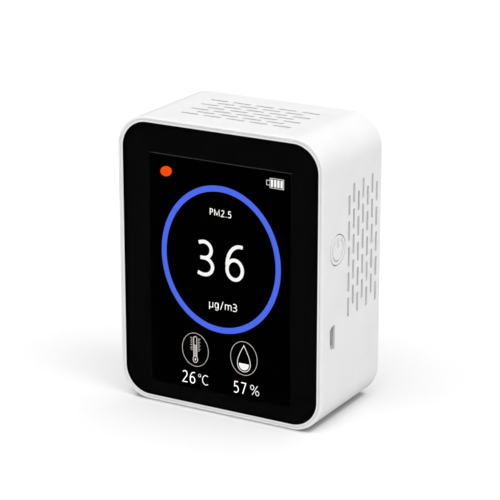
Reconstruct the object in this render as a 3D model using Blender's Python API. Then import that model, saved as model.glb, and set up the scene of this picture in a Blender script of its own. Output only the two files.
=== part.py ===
"""Desktop air quality monitor: a white box with a black glass front.

Frame: X to the right, Y into the object, Z up. The origin is at the middle of the base,
so the object stands on Z = 0 and the glass faces -Y. All lengths are in metres.
"""

import math

import bmesh
import bpy
from mathutils import Matrix, Vector

MM = 0.001


def mm(*values):
    """Millimetres as metres."""
    return tuple(value * MM for value in values)


GAP = 0.3 * MM  # clearance kept between neighbouring pieces

# Driving dimensions of the case
CASE_WIDTH = 71.0 * MM
CASE_HEIGHT = 91.2 * MM
CASE_DEPTH = 38.0 * MM
CORNER_RADIUS = 10.3 * MM
WALL = 2.0 * MM
RIM = 1.75 * MM  # from the outside of the case to the edge of the glass pocket

# Driving dimensions of what shows on the case
SLOT_LENGTH = 6.2 * MM
SLOT_WIDTH = 1.3 * MM
SLOT_PITCH = 8.0 * MM
ROW_PITCH = 3.0 * MM
BUTTON_RADIUS = 4.6 * MM
BUTTON_DEPTH = 9.5 * MM  # from the front of the case to the button's axis
BUTTON_HEIGHT = 56.0 * MM
BUTTON_TRAVEL = 0.4 * MM
USB_DEPTH = 6.6 * MM
USB_HEIGHT = 29.2 * MM

# Values worked out from them
CENTRE_Z = CASE_HEIGHT / 2
FRONT = -CASE_DEPTH / 2
HALF_WIDTH = CASE_WIDTH / 2
HALF_HEIGHT = CASE_HEIGHT / 2
CORNER_STEPS = 10  # straight edges in a quarter turn of a case corner
BOSS_OFFSET = 5.9 * MM * math.sqrt(0.5)  # from a corner's centre to its screw, in x and in z
BOSS_X = HALF_WIDTH - CORNER_RADIUS + BOSS_OFFSET
BOSS_Z = HALF_HEIGHT - CORNER_RADIUS + BOSS_OFFSET  # above and below the middle of the case
CORNERS = [(-1, -1), (1, -1), (1, 1), (-1, 1)]

WHITE = (0.86, 0.86, 0.86)
BLACK = (0.004, 0.004, 0.004)
DARK_PLASTIC = (0.03, 0.03, 0.03)
BOARD_GREEN = (0.02, 0.16, 0.07)
STEEL = (0.62, 0.62, 0.63)
CREAM = (0.78, 0.74, 0.64)
SENSOR_GREY = (0.15, 0.17, 0.2)
FLEX_AMBER = (0.55, 0.3, 0.06)
BRASS = (0.75, 0.55, 0.25)
FOIL = (0.6, 0.62, 0.65)
PLUNGER_GREY = (0.5, 0.5, 0.5)
LEAD_RED = (0.6, 0.02, 0.02)
CABLE_GREY = (0.7, 0.7, 0.7)


def deep(distance):
    """Y of a plane that lies this far behind the front of the case."""
    return FRONT + distance


def at_depth(x, z):
    """A place on the front plane, from which turned pieces measure their depth."""
    return (x, FRONT, z)


# ---------------------------------------------------------------- helpers


def clear_scene():
    for item in list(bpy.data.objects):
        bpy.data.objects.remove(item, do_unlink=True)


def make_material(name, colour, roughness, metallic):
    material = bpy.data.materials.new(name)
    material.use_nodes = True
    shader = material.node_tree.nodes["Principled BSDF"]
    shader.inputs["Base Color"].default_value = (*colour, 1.0)
    shader.inputs["Roughness"].default_value = roughness
    shader.inputs["Metallic"].default_value = metallic
    return material


def finish_piece(name, mesh, place, colour, roughness=0.45, metallic=0.0, smooth=False):
    """Turn a bmesh, drawn about its own origin, into a named object at place."""
    bmesh.ops.recalc_face_normals(mesh, faces=mesh.faces)
    data = bpy.data.meshes.new(name)
    mesh.to_mesh(data)
    mesh.free()
    if smooth:
        data.shade_smooth()
        data.set_sharp_from_angle(angle=math.radians(35))
    data.materials.append(make_material(name, colour, roughness, metallic))
    piece = bpy.data.objects.new(name, data)
    piece.location = place
    bpy.context.collection.objects.link(piece)
    return piece


def boolean(target, tool, operation):
    """Let a tool change a target. The tool itself is only a guide."""
    tool.hide_render = True
    tool.display_type = "WIRE"
    modifier = target.modifiers.new(tool.name, "BOOLEAN")
    modifier.operation = operation
    modifier.solver = "EXACT"
    modifier.object = tool


def cut(target, *tools):
    for tool in tools:
        boolean(target, tool, "DIFFERENCE")


def add(target, *tools):
    for tool in tools:
        boolean(target, tool, "UNION")


def add_box(mesh, low, high):
    """Draw a box between two corners."""
    corners = [(x, y, z) for x in (low[0], high[0]) for y in (low[1], high[1]) for z in (low[2], high[2])]
    verts = [mesh.verts.new(corner) for corner in corners]
    for face in ((0, 1, 3, 2), (4, 6, 7, 5), (0, 4, 5, 1), (2, 3, 7, 6), (0, 2, 6, 4), (1, 5, 7, 3)):
        mesh.faces.new([verts[i] for i in face])


def box(name, x, depth, z, colour=WHITE, **finish):
    """A box from its spans in x, in distance behind the front of the case, and in z."""
    low = Vector((x[0], deep(depth[0]), z[0]))
    high = Vector((x[1], deep(depth[1]), z[1]))
    centre = (low + high) / 2
    mesh = bmesh.new()
    add_box(mesh, low - centre, high - centre)
    return finish_piece(name, mesh, centre, colour, **finish)


def facing_front(outline, y):
    """An outline of (x, z) points, placed at y."""
    return [(x, y, z) for x, z in outline]


def facing_right(outline, x):
    """An outline of (y, z) points, placed at x."""
    return [(x, y, z) for y, z in outline]


def loft(rings, closed=False):
    """Skin a row of rings. Closed joins the last ring to the first; otherwise both ends are capped."""
    mesh = bmesh.new()
    loops = [[mesh.verts.new(point) for point in ring] for ring in rings]
    pairs = list(zip(loops, loops[1:]))
    if closed:
        pairs.append((loops[-1], loops[0]))
    else:
        mesh.faces.new(loops[0])
        mesh.faces.new(loops[-1])
    for near, far in pairs:
        for i in range(len(near)):
            j = (i + 1) % len(near)
            mesh.faces.new((near[i], near[j], far[j], far[i]))
    return mesh


def rounded_outline(half_width, half_height, radius, steps=CORNER_STEPS):
    """Corner arcs of a rounded rectangle about its middle, as (x, z) points."""
    points = []
    for quarter, (side_x, side_z) in enumerate([(1, -1), (1, 1), (-1, 1), (-1, -1)]):
        centre_x = side_x * (half_width - radius)
        centre_z = side_z * (half_height - radius)
        for step in range(steps + 1):
            angle = math.radians(90) * (quarter - 1 + step / steps)
            points.append((centre_x + radius * math.cos(angle), centre_z + radius * math.sin(angle)))
    return points


def case_outline(inset):
    """The case's outline, moved inwards."""
    return rounded_outline(HALF_WIDTH - inset, HALF_HEIGHT - inset, CORNER_RADIUS - inset)


def fillet(radius, depth, turn, steps=3):
    """(inset, depth) points of a rounded outer edge. turn is 1 at the front and -1 at the back."""
    points = []
    for step in range(steps + 1):
        angle = math.radians(90) * step / steps
        inset = radius * (1 - math.sin(angle))
        points.append((inset, depth + turn * radius * (1 - math.cos(angle))))
    return points if turn > 0 else points[::-1]


def case_rings(section):
    """The case's outline at each (inset, depth) of a section."""
    return [facing_front(case_outline(inset), deep(depth)) for inset, depth in section]


def case_sleeve(name, section, **finish):
    """A ring that follows the case's outline, from its closed section."""
    return finish_piece(name, loft(case_rings(section), closed=True), (0, 0, CENTRE_Z), WHITE, **finish)


def case_panel(name, section, colour, **finish):
    """A solid panel with the case's outline, from its (inset, depth) points, front to back."""
    return finish_piece(name, loft(case_rings(section)), (0, 0, CENTRE_Z), colour, **finish)


def plate(name, outline, depth, centre, colour=WHITE, **finish):
    """An outline in x and z, extruded between two depths."""
    middle = deep(sum(depth) / 2)
    rings = [facing_front(outline, deep(distance) - middle) for distance in depth]
    return finish_piece(name, loft(rings), (centre[0], middle, centre[1]), colour, **finish)


AXIS_TURNS = {
    "X": Matrix.Rotation(math.radians(90), 3, "Y"),
    "Y": Matrix.Rotation(math.radians(-90), 3, "X"),
}


def turned(name, profile, place, axis, colour=WHITE, segments=20, **finish):
    """A turned piece. The profile is (radius, distance along the axis from place); radius 0 is a pole."""
    mesh = bmesh.new()
    angles = [2 * math.pi * i / segments for i in range(segments)]
    rings = []
    for radius, along in profile:
        if radius == 0:
            rings.append([mesh.verts.new((0, 0, along))])
        else:
            circle = [(radius * math.cos(angle), radius * math.sin(angle), along) for angle in angles]
            rings.append([mesh.verts.new(point) for point in circle])
    for near, far in zip(rings, rings[1:]):
        for i in range(segments):
            j = (i + 1) % segments
            corners = [near[i % len(near)], near[j % len(near)], far[j % len(far)], far[i % len(far)]]
            mesh.faces.new(list(dict.fromkeys(corners)))
    bmesh.ops.rotate(mesh, cent=(0, 0, 0), matrix=AXIS_TURNS[axis], verts=mesh.verts)
    return finish_piece(name, mesh, place, colour, smooth=True, **finish)


def rod(name, radius, span, place, axis, colour=WHITE, **finish):
    """A plain cylinder along an axis, between two distances from place."""
    profile = [(0, span[0]), (radius, span[0]), (radius, span[1]), (0, span[1])]
    return turned(name, profile, place, axis, colour, **finish)


def spline_point(before, start, end, after, t):
    """A point of a smooth curve from start to end, with the route's points on either side of them."""
    rise = (end - before) / 2
    bend = before - 2.5 * start + 2 * end - after / 2
    twist = (3 * start - 3 * end + after - before) / 2
    return start + t * rise + t**2 * bend + t**3 * twist


def wire(name, route, radius, colour, steps=4):
    """A lead: a round tube along a smooth curve through the route's (x, depth, z) points."""
    points = [Vector((x, deep(depth), z)) for x, depth, z in route]
    padded = [2 * points[0] - points[1], *points, 2 * points[-1] - points[-2]]
    samples = []
    for before, start, end, after in zip(padded, padded[1:], padded[2:], padded[3:]):
        samples += [spline_point(before, start, end, after, step / steps) for step in range(steps)]
    samples.append(points[-1])
    curve = bpy.data.curves.new(name, "CURVE")
    curve.dimensions = "3D"
    curve.bevel_depth = radius
    curve.bevel_resolution = 2
    curve.use_fill_caps = True
    spline = curve.splines.new("POLY")
    spline.points.add(len(samples) - 1)
    for point, place in zip(spline.points, samples):
        point.co = (*place, 1)
    curve.materials.append(make_material(name, colour, 0.5, 0.0))
    bpy.context.collection.objects.link(bpy.data.objects.new(name, curve))


# ---------------------------------------------------------------- the vents

GRILLE_ROWS = 7
SIDE_GRILLE_DEPTH = 25.65 * MM  # middle of the seven columns
SIDE_GRILLE_HEIGHT = 51.9 * MM  # middle of the odd columns
SIDE_GRILLE_SHIFT = 3.2 * MM  # the even columns stand this much higher
REAR_GRILLE_HEIGHT = 63.0 * MM
CUT_LENGTH = 3 * WALL


def staggered_grid(long_count, short_count, shift):
    """(row offset, slot offset) pairs about the middle. Odd rows hold short_count slots, moved by shift."""
    places = []
    for row in range(GRILLE_ROWS):
        count, move = (short_count, shift) if row % 2 else (long_count, 0)
        for slot in range(count):
            along = (slot - (long_count - 1) / 2) * SLOT_PITCH + move
            places.append(((row - (GRILLE_ROWS - 1) / 2) * ROW_PITCH, along))
    return places


def slot_cutter(name, places, size):
    """One tool that cuts every slot of a grille."""
    half = Vector(size) / 2
    mesh = bmesh.new()
    for place in places:
        add_box(mesh, Vector(place) - half, Vector(place) + half)
    return finish_piece(name, mesh, (0, 0, 0), WHITE)


def top_grille_cutter():
    grid = staggered_grid(5, 4, SLOT_PITCH / 2)
    places = [(along, deep(CASE_DEPTH / 2 + row), CASE_HEIGHT - WALL / 2) for row, along in grid]
    return slot_cutter("top_grille_cutter", places, (SLOT_LENGTH, SLOT_WIDTH, CUT_LENGTH))


def side_grille_cutter(side):
    grid = staggered_grid(5, 5, SIDE_GRILLE_SHIFT)
    wall_x = side * (HALF_WIDTH - WALL / 2)
    places = [(wall_x, deep(SIDE_GRILLE_DEPTH + row), SIDE_GRILLE_HEIGHT + along) for row, along in grid]
    name = "right_grille_cutter" if side > 0 else "left_grille_cutter"
    return slot_cutter(name, places, (CUT_LENGTH, SLOT_WIDTH, SLOT_LENGTH))


def rear_grille_cutter():
    grid = staggered_grid(5, 4, SLOT_PITCH / 2)
    places = [(along, deep(CASE_DEPTH), REAR_GRILLE_HEIGHT + row) for row, along in grid]
    return slot_cutter("rear_grille_cutter", places, (SLOT_LENGTH, 3 * CUT_LENGTH, SLOT_WIDTH))


# ---------------------------------------------------------------- charging socket


def usb_outline(clearance):
    """The socket's outline as (y, z) about its middle: its narrow side faces the front."""
    half_depth = 1.3 * MM + clearance
    wide = 3.45 * MM + clearance
    narrow = 2.45 * MM + clearance
    shoulder = -0.2 * MM
    upper_half = [(half_depth, wide), (shoulder, wide), (-half_depth, narrow)]
    return upper_half + [(y, -z) for y, z in reversed(upper_half)]


def usb_prism(name, clearance, span, colour=WHITE, **finish):
    """The socket's outline, extruded between two x places."""
    middle = sum(span) / 2
    rings = [facing_right(usb_outline(clearance), x - middle) for x in span]
    return finish_piece(name, loft(rings), (middle, deep(USB_DEPTH), USB_HEIGHT), colour, **finish)


def usb_socket():
    sheet = 0.3 * MM
    mouth = HALF_WIDTH - 0.5 * MM
    tail = HALF_WIDTH - 6.0 * MM
    shell = usb_prism("usb_shell", 0, (tail, mouth), STEEL, metallic=1.0, roughness=0.3)
    cut(shell, usb_prism("usb_mouth", -sheet, (tail + 0.5 * MM, mouth + MM)))
    depth = (USB_DEPTH + 0.1 * MM, USB_DEPTH + 0.7 * MM)
    z = (USB_HEIGHT - 1.9 * MM, USB_HEIGHT + 1.9 * MM)
    box("usb_tongue", (tail + 0.8 * MM, mouth - 0.8 * MM), depth, z, DARK_PLASTIC)


# ---------------------------------------------------------------- the case

POCKET_DEPTH = 1.3 * MM  # glass pocket in the front frame
LEDGE_BACK = 2.3 * MM
FRAME_BACK = 3.2 * MM
LIP = 0.55 * MM  # the frame's thin edge beside the glass
GROOVE_INSET = 0.65 * MM  # from the outside of the case to the groove in its front rim
GROOVE_DEPTH = 0.7 * MM
REAR_REBATE = 1.0 * MM
COVER_FRONT = 36.4 * MM
COVER_ROOT = COVER_FRONT + 0.5 * MM  # how deep the ribs and pads reach into the cover
BOSS_SPAN = mm(24.0, 34.3)
BOSS_RADIUS = 3.0 * MM
PAD_RADIUS = 2.1 * MM
SCREW_HOLE_RADIUS = 1.2 * MM
SINK_RADIUS = 2.2 * MM
TAB_WIDTH = 8.0 * MM
TAB_PLACES = [(x * MM, side) for side in (1, -1) for x in (-17.0, 17.0)]
LEDGE_HALF_WIDTH = 28.6 * MM
LEDGE_SPAN = mm(4.3, 86.6)
POST_PLACES = [mm(side * 30.7, z) for z in (14.0, 73.0) for side in (-1, 1)]
POST_RADIUS = 2.0 * MM
POST_HOLE_RADIUS = 1.1 * MM


def corner_screw_places():
    """The number and place of each of the four screws in the case's corners."""
    for number, (side_x, side_z) in enumerate(CORNERS, 1):
        yield number, at_depth(side_x * BOSS_X, CENTRE_Z + side_z * BOSS_Z)


def below_edge(side, near, far):
    """A span of heights between two insets from the top (side 1) or the bottom (side -1) of the case."""
    return sorted(CENTRE_Z + side * (HALF_HEIGHT - inset * MM) for inset in (near, far))


def main_shell():
    lip_clearance = RIM - LIP - GAP
    section = [
        *fillet(0.6 * MM, 0, 1),
        *fillet(0.8 * MM, CASE_DEPTH, -1),
        (REAR_REBATE, CASE_DEPTH),
        (REAR_REBATE, COVER_FRONT - GAP),
        (WALL, COVER_FRONT - GAP),
        (WALL, FRAME_BACK + GAP),
        (lip_clearance, FRAME_BACK + GAP),
        (lip_clearance, GROOVE_DEPTH),
        (GROOVE_INSET, GROOVE_DEPTH),
        (GROOVE_INSET, 0),
    ]
    shell = case_sleeve("main_shell", section, smooth=True)
    for number, place in corner_screw_places():
        add(shell, rod(f"boss_{number}", BOSS_RADIUS, BOSS_SPAN, place, "Y"))
        cut(shell, rod(f"boss_hole_{number}", SCREW_HOLE_RADIUS, mm(28, 35), place, "Y"))
    cut(shell, top_grille_cutter(), side_grille_cutter(1), side_grille_cutter(-1))
    place = (HALF_WIDTH, deep(BUTTON_DEPTH), BUTTON_HEIGHT)
    cut(shell, rod("button_hole", BUTTON_RADIUS + GAP, (-CUT_LENGTH, CUT_LENGTH), place, "X", segments=32))
    cut(shell, usb_prism("usb_hole", GAP, (HALF_WIDTH - CUT_LENGTH, HALF_WIDTH + CUT_LENGTH)))
    half_catch = TAB_WIDTH / 2 + GAP
    for number, (x, side) in enumerate(TAB_PLACES, 1):
        z = below_edge(side, 3.5, 0.9)
        cut(shell, box(f"catch_{number}", (x - half_catch, x + half_catch), mm(5.9, 8.1), z))


def front_frame():
    """The frame that holds the glass. It stands in the shell's front, and four tabs snap into the shell."""
    outer = RIM - LIP
    skirt = outer + 1.6 * MM
    ledge_inner = outer + 3.0 * MM
    section = [
        (outer, 0),
        (outer, FRAME_BACK),
        (skirt, FRAME_BACK),
        (skirt, LEDGE_BACK),
        (ledge_inner, LEDGE_BACK),
        (ledge_inner, POCKET_DEPTH),
        (RIM, POCKET_DEPTH),
        (RIM, 0),
    ]
    frame = case_sleeve("front_frame", section, smooth=True)
    ledge_outline = case_outline(RIM + 0.5 * MM)
    add(frame, plate("ledge", ledge_outline, (POCKET_DEPTH, LEDGE_BACK), (0, CENTRE_Z)))
    for number, (x, z) in enumerate(POST_PLACES, 1):
        add(frame, rod(f"post_{number}", POST_RADIUS, mm(1.8, 3.7), at_depth(x, z), "Y"))
    for number, (x, side) in enumerate(TAB_PLACES, 1):
        span = (x - TAB_WIDTH / 2, x + TAB_WIDTH / 2)
        arm = box(f"tab_{number}", span, mm(2.0, 8.0), below_edge(side, 3.4, 2.3))
        barb = box(f"barb_{number}", span, mm(6.3, 7.7), below_edge(side, 2.6, 1.3))
        add(frame, arm, barb)
    half_height = (LEDGE_SPAN[1] - LEDGE_SPAN[0]) / 2
    window = rounded_outline(LEDGE_HALF_WIDTH, half_height, 1.2 * MM, steps=3)
    cut(frame, plate("ledge_opening", window, mm(-1, 5), (0, sum(LEDGE_SPAN) / 2)))
    for number, (x, z) in enumerate(POST_PLACES, 1):
        cut(frame, rod(f"post_hole_{number}", POST_HOLE_RADIUS, mm(1.75, 5.0), at_depth(x, z), "Y"))


def front_glass():
    inset = RIM + GAP
    edge = 0.15 * MM
    section = [(inset + edge, 0), (inset, edge), (inset, POCKET_DEPTH - GAP)]
    case_panel("front_glass", section, BLACK, roughness=0.08, smooth=True)


def rear_cover():
    inset = REAR_REBATE + GAP
    edge = 0.4 * MM
    section = [(inset, COVER_FRONT), (inset, CASE_DEPTH - edge), (inset + edge, CASE_DEPTH)]
    cover = case_panel("rear_cover", section, WHITE, smooth=True)
    rib_depth = (30 * MM, COVER_ROOT)
    for name, z in (("low", mm(3.6, 4.7)), ("high", mm(39.3, 40.4))):
        add(cover, box(f"battery_rib_{name}", mm(-24, 24), rib_depth, z))
    for name, x in (("left", mm(-26.5, -25.4)), ("right", mm(25.4, 26.5))):
        add(cover, box(f"sensor_rib_{name}", x, (31 * MM, COVER_ROOT), mm(50, 76)))
    for number, place in corner_screw_places():
        add(cover, rod(f"cover_pad_{number}", PAD_RADIUS, (BOSS_SPAN[1] + GAP, COVER_ROOT), place, "Y"))
        cut(cover, rod(f"cover_hole_{number}", SCREW_HOLE_RADIUS, mm(30, 40), place, "Y"))
        cut(cover, rod(f"cover_sink_{number}", SINK_RADIUS, mm(36.6, 40), place, "Y"))
    cut(cover, rear_grille_cutter())


# ---------------------------------------------------------------- screws


def cross_recess(name, place, depth, reach):
    """The cross in a screw's head, cut from the given span of depths."""
    half = 0.28 * MM
    outline = []
    for quarter in range(4):
        turn = Matrix.Rotation(math.radians(90) * quarter, 2)
        outline += [tuple(turn @ Vector(point)) for point in ((reach, -half), (reach, half), (half, half))]
    return plate(name, outline, depth, (place[0], place[2]), STEEL)


def screw(name, place, stations, shank_radius, head_radius):
    """A pan-head screw that points to the front. Stations: its tip, the head's underside, the head's top."""
    tip, neck, top = stations
    edge = 0.25 * MM
    profile = [
        (0, tip),
        (shank_radius / 2, tip),
        (shank_radius, tip + shank_radius),
        (shank_radius, neck),
        (head_radius, neck),
        (head_radius, top - edge),
        (head_radius - edge, top),
        (0, top),
    ]
    piece = turned(name, profile, place, "Y", STEEL, segments=16, roughness=0.3, metallic=1.0)
    recess_depth = 0.6 * (top - neck)
    cut(piece, cross_recess(f"{name}_recess", place, (top - recess_depth, top + MM), 0.6 * head_radius))


def cover_screws():
    for number, place in corner_screw_places():
        screw(f"cover_screw_{number}", place, mm(28.5, 36.9, 37.9), 0.9 * MM, 1.9 * MM)


# ---------------------------------------------------------------- power button

SWITCH_FACE = 29.6 * MM  # x of the switch's side that faces the case wall
BUTTON_BACK = HALF_WIDTH - WALL - GAP  # x where the cap ends and its retaining bar begins
CAP_BACK = BUTTON_BACK - 0.2 * MM  # the cap reaches this far into the bar
BAR_BACK = BUTTON_BACK - 1.3 * MM
STEM_BACK = BAR_BACK - 0.7 * MM


def power_button():
    """A flush cap that slides inwards. A bar behind the wall keeps it in, and its stem meets the switch."""
    place = (HALF_WIDTH, deep(BUTTON_DEPTH), BUTTON_HEIGHT)
    edge = 0.25 * MM
    back = CAP_BACK - HALF_WIDTH
    profile = [(0, back), (BUTTON_RADIUS, back), (BUTTON_RADIUS, -edge), (BUTTON_RADIUS - edge, 0), (0, 0)]
    cap = turned("power_button", profile, place, "X", segments=32)
    bar_depth = (BUTTON_DEPTH - 1.4 * MM, BUTTON_DEPTH + 1.4 * MM)
    bar_z = (BUTTON_HEIGHT - 6.4 * MM, BUTTON_HEIGHT + 6.4 * MM)
    stem_end = STEM_BACK - HALF_WIDTH
    stem = rod("button_stem", 1.3 * MM, (stem_end, stem_end + MM), place, "X", segments=16)
    add(cap, box("button_bar", (BAR_BACK, BUTTON_BACK), bar_depth, bar_z), stem)


# ---------------------------------------------------------------- display and main board

BOARD_DEPTH = mm(4.0, 5.0)
BOARD_SPAN = mm(4.2, 82.6)
BOARD_HALF_WIDTH = CAP_BACK - BUTTON_TRAVEL - GAP  # clear of the button's cap when it is pressed
PART_SEAT = BOARD_DEPTH[1] + GAP  # where pieces on the back of the board begin


def display():
    box("lcd_panel", mm(-26.6, 27.9), mm(1.3, 2.3), mm(4.9, 86.0), BLACK, roughness=0.2)
    box("backlight_tray", mm(-26.9, 28.2), mm(2.6, 3.7), mm(4.9, 81.6), STEEL, metallic=1.0)
    box("display_socket", mm(-10, 10), (PART_SEAT, 6.8 * MM), mm(74.4, 78.3), CREAM)


def display_flex():
    """The ribbon that turns over the top edge of the board, drawn as a U in depth and z."""
    half_thickness = 0.1 * MM
    bend = 1.4 * MM
    front_end, back_end = mm(82.1, 78.7)
    centre_depth, centre_z = mm(4.15, 83.4)
    steps = 8
    sides = []
    for side in (-1, 1):
        radius = bend + side * half_thickness
        line = [(deep(centre_depth - radius), front_end)]
        for step in range(steps + 1):
            angle = math.pi * (1 - step / steps)
            line.append((deep(centre_depth + radius * math.cos(angle)), centre_z + radius * math.sin(angle)))
        line.append((deep(centre_depth + radius), back_end))
        sides.append(line)
    outline = sides[0] + sides[1][::-1]
    rings = [facing_right(outline, x) for x in mm(-9, 9)]
    finish_piece("display_flex", loft(rings), (0, 0, 0), FLEX_AMBER)


def main_board():
    half_height = (BOARD_SPAN[1] - BOARD_SPAN[0]) / 2
    outline = rounded_outline(BOARD_HALF_WIDTH, half_height, 7.6 * MM, steps=5)
    board = plate("main_board", outline, BOARD_DEPTH, (0, sum(BOARD_SPAN) / 2), BOARD_GREEN)
    stations = (2.1 * MM, PART_SEAT, PART_SEAT + MM)
    for number, (x, z) in enumerate(POST_PLACES, 1):
        place = at_depth(x, z)
        cut(board, rod(f"board_hole_{number}", POST_HOLE_RADIUS, mm(3, 6), place, "Y", segments=16))
        screw(f"board_screw_{number}", place, stations, 0.8 * MM, 1.6 * MM)


def board_part(name, x, z, thickness, colour):
    """A block on the back of the main board."""
    box(name, mm(*x), (PART_SEAT, PART_SEAT + thickness * MM), mm(*z), colour)


def board_parts():
    board_part("microcontroller", (-9, 3), (42, 54), 1.4, DARK_PLASTIC)
    board_part("charger_chip", (17, 22), (22, 26), 1.5, DARK_PLASTIC)
    board_part("climate_sensor", (28, 31), (64.5, 67.5), 1.0, CREAM)
    board_part("battery_socket", (-26, -18), (44, 49), 5.5, CREAM)
    board_part("board_sensor_socket", (-31, -26.5), (58, 70), 4.0, CREAM)


def power_switch():
    """A side-push switch: its body on the board, and its plunger in a bore of the body."""
    x = (SWITCH_FACE - 4 * MM, SWITCH_FACE)
    z = (BUTTON_HEIGHT - 3 * MM, BUTTON_HEIGHT + 3 * MM)
    body = box("switch_body", x, (PART_SEAT, 12.6 * MM), z, DARK_PLASTIC)
    place = (SWITCH_FACE, deep(BUTTON_DEPTH), BUTTON_HEIGHT)
    cut(body, rod("switch_bore", 2.0 * MM, mm(-2, 1), place, "X"))
    plunger_span = (-1.3 * MM, STEM_BACK - GAP - SWITCH_FACE)
    rod("switch_plunger", 1.7 * MM, plunger_span, place, "X", PLUNGER_GREY, segments=16)


# ---------------------------------------------------------------- laser dust sensor

SENSOR_X = mm(-25, 25)
SENSOR_Z = mm(44, 82)
SENSOR_FRONT = 16.0 * MM  # front edge of the base, behind the lid
SENSOR_BACK = 34.4 * MM
SENSOR_WALL = 1.2 * MM
FAN_X = 12.0 * MM
FAN_HALF = 11.0 * MM
FAN_BORE = 10.0 * MM
FAN_FRONT = 26.0 * MM
FAN_BACK = SENSOR_BACK - SENSOR_WALL - GAP
BLADES = 7


def inside(span):
    """A span of the sensor's case, less its walls."""
    return (span[0] + SENSOR_WALL, span[1] - SENSOR_WALL)


def dust_sensor_case():
    base = box("dust_sensor_base", SENSOR_X, (SENSOR_FRONT, SENSOR_BACK), SENSOR_Z, SENSOR_GREY)
    hollow_depth = (SENSOR_FRONT - MM, SENSOR_BACK - SENSOR_WALL)
    cut(base, box("sensor_hollow", inside(SENSOR_X), hollow_depth, inside(SENSOR_Z)))
    cut(base, rod("sensor_exhaust", FAN_BORE, mm(30, 36), at_depth(FAN_X, REAR_GRILLE_HEIGHT), "Y"))
    cut(base, box("sensor_inlet", mm(-26, -23), mm(21, 27), mm(50, 58)))
    lid_depth = (13.8 * MM, SENSOR_FRONT - GAP)
    box("dust_sensor_lid", SENSOR_X, lid_depth, SENSOR_Z, STEEL, metallic=1.0, roughness=0.35)


def dust_sensor_parts():
    box("dust_sensor_board", mm(-23, -1), mm(17, 18.2), mm(46, 80), BOARD_GREEN)
    barrel = [mm(radius, along) for radius, along in ((0, 0), (3.0, 0), (3.0, 8), (2.2, 9), (0, 9))]
    place = (-21 * MM, deep(23 * MM), 63 * MM)
    turned("laser_module", barrel, place, "X", BRASS, metallic=1.0, roughness=0.3)
    box("photodiode", mm(-8, -4), mm(18.5, 19.7), mm(61, 65), DARK_PLASTIC)
    socket_right = SENSOR_X[0] - GAP
    box("dust_sensor_socket", (socket_right - 3 * MM, socket_right), mm(18, 20), mm(62, 72), CREAM)


def fan_frame(origin):
    """A square frame with a cross arm, which carries the bearing tube."""
    height = origin[2]
    x = (FAN_X - FAN_HALF, FAN_X + FAN_HALF)
    z = (height - FAN_HALF, height + FAN_HALF)
    frame = box("fan_frame", x, (FAN_FRONT, FAN_BACK), z, DARK_PLASTIC)
    cut(frame, rod("fan_bore", FAN_BORE, (FAN_FRONT - MM, FAN_BACK + MM), origin, "Y", segments=32))
    reach = FAN_BORE + 0.5 * MM
    arm_half = 1.2 * MM
    arm_depth = (FAN_FRONT, FAN_FRONT + arm_half)
    arm = box("fan_arm", (FAN_X - reach, FAN_X + reach), arm_depth, (height - arm_half, height + arm_half))
    tube = rod("fan_bearing_tube", 1.9 * MM, (FAN_FRONT, 30.2 * MM), origin, "Y", segments=16)
    add(frame, arm, tube)
    tube_span = (FAN_FRONT + 0.5 * MM, 32 * MM)
    cut(frame, rod("fan_tube_bore", 1.05 * MM, tube_span, origin, "Y", segments=16))


def fan_blades(place):
    """Flat blades, pitched about their radial lines."""
    pitch = Matrix.Rotation(math.radians(38), 3, "X")
    mesh = bmesh.new()
    for number in range(BLADES):
        before = len(mesh.verts)
        add_box(mesh, mm(4.25, -0.25, -2.1), mm(9.2, 0.25, 2.1))
        blade = list(mesh.verts)[before:]
        bmesh.ops.rotate(mesh, cent=(0, 0, 0), matrix=pitch, verts=blade)
        around = Matrix.Rotation(2 * math.pi * number / BLADES, 3, "Y")
        bmesh.ops.rotate(mesh, cent=(0, 0, 0), matrix=around, verts=blade)
    return finish_piece("fan_blades", mesh, place, DARK_PLASTIC)


def fan_rotor(origin):
    """A cup with its blades, which turns with its shaft."""
    place = (origin[0], deep(30 * MM), origin[2])
    outer, inner, seat = 4.6, 3.9, 1.05
    cup = [
        (0, 2.4),
        (outer, 2.4),
        (outer, -2.0),
        (inner, -2.0),
        (inner, 1.2),
        (seat, 1.2),
        (seat, 1.8),
        (0, 1.8),
    ]
    profile = [mm(radius, along) for radius, along in cup]
    rotor = turned("fan_rotor", profile, place, "Y", DARK_PLASTIC, segments=3 * BLADES)
    add(rotor, fan_blades(place))
    rod("fan_shaft", 0.75 * MM, mm(-3.0, 1.5), place, "Y", STEEL, segments=12, metallic=1.0)


# ---------------------------------------------------------------- battery and leads


def battery():
    box("battery", mm(-25, 25), mm(26, 34), mm(5, 39), FOIL, metallic=0.6)
    box("battery_pad", mm(-20, 20), mm(34.3, 36.1), mm(10, 34), DARK_PLASTIC, roughness=0.9)


def leads():
    """The battery's two leads and the dust sensor's cable, each held between two housings."""
    lead = [(25.7, 36), (23, 36.2), (17, 38.5), (13, 42.6), (12.4, 45.6), (11.1, 46.5)]
    for name, x, colour in (("red", -23.5, LEAD_RED), ("black", -20.5, BLACK)):
        wire(f"battery_lead_{name}", [mm(x, depth, z) for depth, z in lead], 0.6 * MM, colour)
    cable = [(17.7, 66), (16.5, 66), (14, 65), (11.5, 64), (9.7, 64)]
    wire("sensor_cable", [mm(-28.9, depth, z) for depth, z in cable], 0.9 * MM, CABLE_GREY)


def build():
    clear_scene()
    main_shell()
    front_frame()
    front_glass()
    rear_cover()
    cover_screws()
    display()
    display_flex()
    main_board()
    board_parts()
    usb_socket()
    power_button()
    power_switch()
    dust_sensor_case()
    dust_sensor_parts()
    fan_origin = at_depth(FAN_X, REAR_GRILLE_HEIGHT)
    fan_frame(fan_origin)
    fan_rotor(fan_origin)
    battery()
    leads()


build()
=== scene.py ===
import math

import bmesh
import bpy
from mathutils import Matrix, Vector
from mathutils.geometry import delaunay_2d_cdt


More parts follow.
